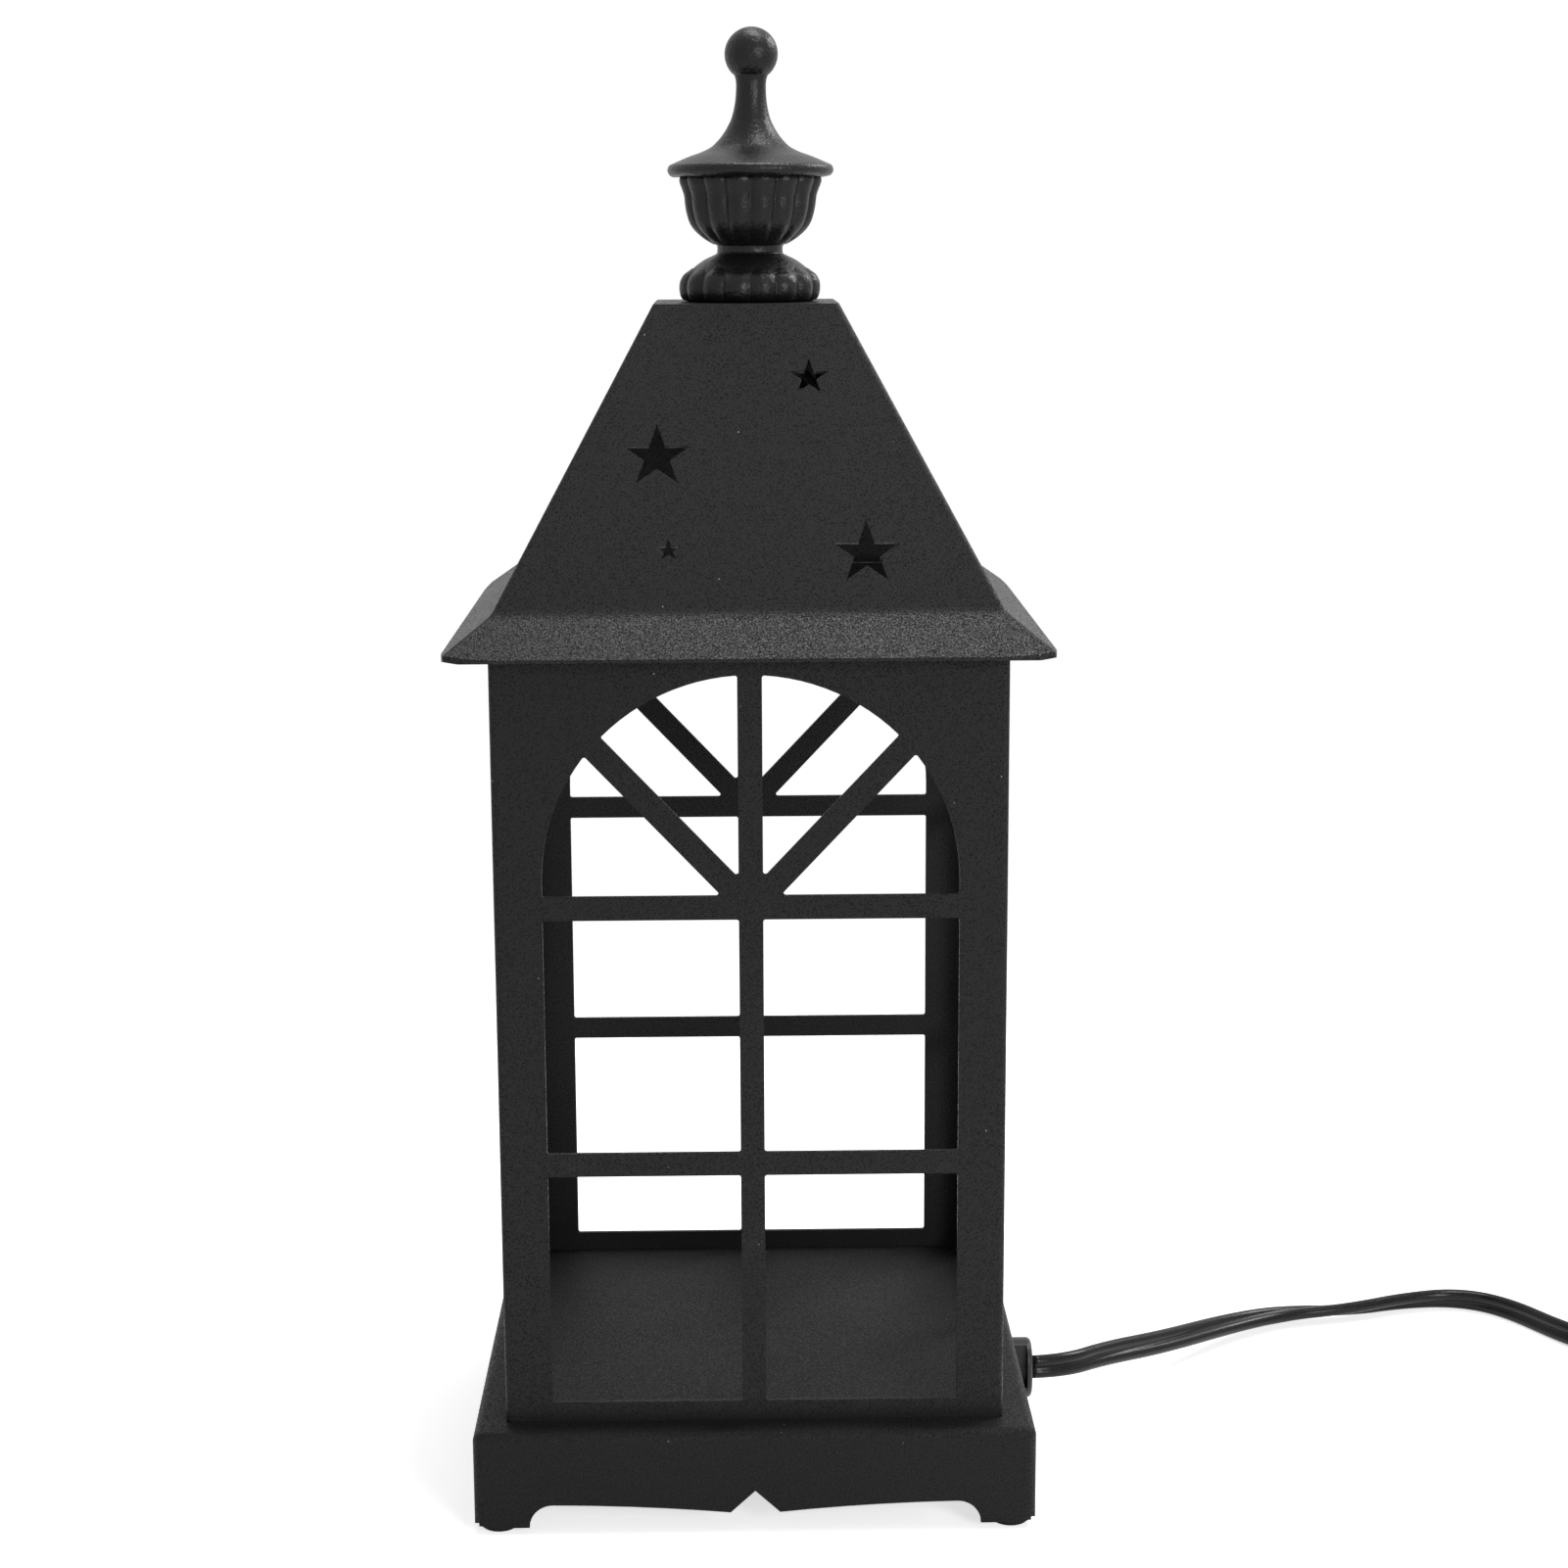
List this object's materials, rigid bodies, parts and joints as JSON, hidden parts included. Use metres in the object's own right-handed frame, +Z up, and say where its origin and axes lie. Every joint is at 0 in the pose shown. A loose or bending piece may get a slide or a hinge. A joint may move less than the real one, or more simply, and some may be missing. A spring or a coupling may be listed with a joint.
{
  "type": "candle warmer lamp",
  "caption": "Square black lantern with arched windows, a star-pierced roof, a finial and a reflector bulb under the roof that warms a jar candle on the base; flat lead, switch and plug.",
  "frame": {"origin": "on the table, under the middle of the lantern", "axes": "+X to the lantern's right, where the lead leaves, +Y to its rear, +Z up"},
  "size_m": [0.4621, 0.154, 0.3702],
  "materials": {
    "black_sheet": "fine powder coat, satin",
    "black_casting": "painted casting, satin",
    "steel": "zinc plated",
    "porcelain": "unglazed, cream",
    "bulb_glass": "clear",
    "bulb_mirror": "faceted mirror coat",
    "brass_parts": "bright",
    "black_rubber": "matt",
    "black_plastic": "satin",
    "black_cord": "soft gloss PVC",
    "lead_sleeve": "black glass fibre sleeve",
    "white_plastic": "matt"
  },
  "bodies": {
    "lantern": {"base_pan": "black_sheet", "cord_coil": "black_cord", "cord_to_coil": "black_cord", "cord_to_plug": "black_cord", "cord_to_switch": "black_cord", "corner_gussets": "black_sheet", "cover_nuts": "steel", "cover_studs": "steel", "crimp_connectors": "white_plastic", "finial_base": "black_casting", "finial_cap": "black_casting", "finial_cup": "black_casting", "finial_rod": "steel", "front_panel": "black_sheet", "inner_cord_tail": "black_cord", "lamp_bracket": "black_sheet", "lamp_leads": "lead_sleeve", "lampholder": "porcelain", "lampholder_screws": "steel", "left_panel": "black_sheet", "plug_blades": "brass_parts", "plug_body": "black_plastic", "rear_panel": "black_sheet", "right_panel": "black_sheet", "rod_nut": "steel", "rod_washer": "steel", "roof_front": "black_sheet", "roof_left": "black_sheet", "roof_rear": "black_sheet", "roof_right": "black_sheet", "roof_screws": "steel", "roof_tabs": "black_sheet", "roof_top_plate": "black_sheet", "rubber_feet": "black_rubber", "strain_relief_body": "black_plastic", "strain_relief_wedge": "black_plastic", "switch_bottom_shell": "black_plastic", "switch_contacts": "brass_parts", "switch_screws": "steel", "switch_top_shell": "black_plastic", "wire_channel": "black_sheet", "wiring_cover": "black_sheet"},
    "bulb": {"bulb_base": "porcelain", "bulb_pins": "brass_parts", "bulb_reflector": "bulb_mirror", "bulb_front_glass": "bulb_glass", "bulb_capsule": "bulb_glass"},
    "switch_wheel": {"switch_wheel": "black_plastic"}
  },
  "joints": [
    {"name": "bulb_twist", "type": "hinge", "parent": "lantern", "child": "bulb", "pos_m": [0, 0, 0.264], "axis": [0, 0, 1], "range_deg": [-22, 0]},
    {"name": "switch_wheel_turn", "type": "hinge", "parent": "lantern", "child": "switch_wheel", "pos_m": [0.26655, 0.00663, 0.0075], "axis": [0, 0, 1], "continuous": true}
  ]
}
